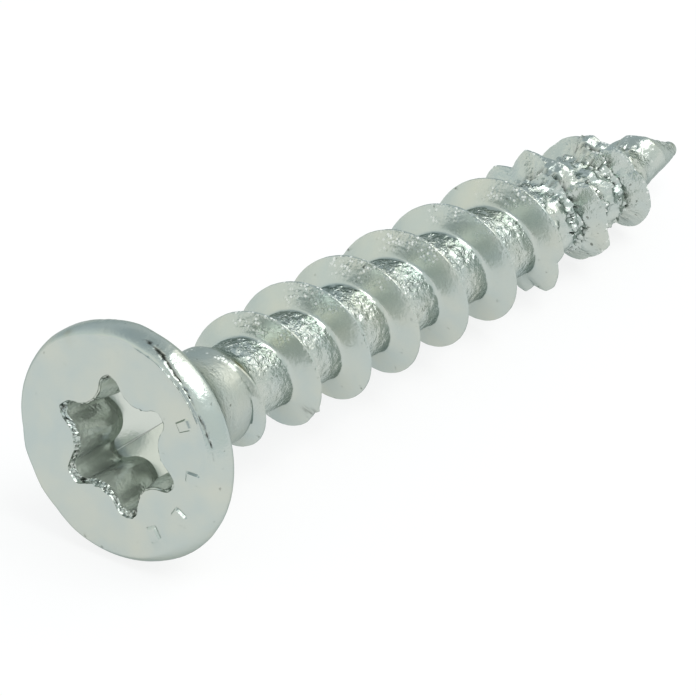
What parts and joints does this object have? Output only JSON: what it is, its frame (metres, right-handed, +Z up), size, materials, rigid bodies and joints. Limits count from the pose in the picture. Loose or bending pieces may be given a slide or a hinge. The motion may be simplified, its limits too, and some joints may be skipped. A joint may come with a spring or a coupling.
{
  "type": "multi-purpose screw",
  "caption": "Flat countersunk wood screw with a six-lobe drive recess, a coarse single thread on a thin core and a sharp point with notched crests.",
  "frame": {"origin": "on the surface that the screw lies on, under the middle of its bounding box", "axes": "+X along the screw from its head to its point, +Z up; the screw's own axis drops 5.22 degrees towards the point, because the wider head lifts that end"},
  "size_m": [0.03, 0.0082, 0.0083],
  "materials": {
    "zinc_plated_steel": "bright zinc plating, satin, with a slightly rough core"
  },
  "bodies": {
    "root": {"screw": "zinc_plated_steel"}
  },
  "joints": []
}
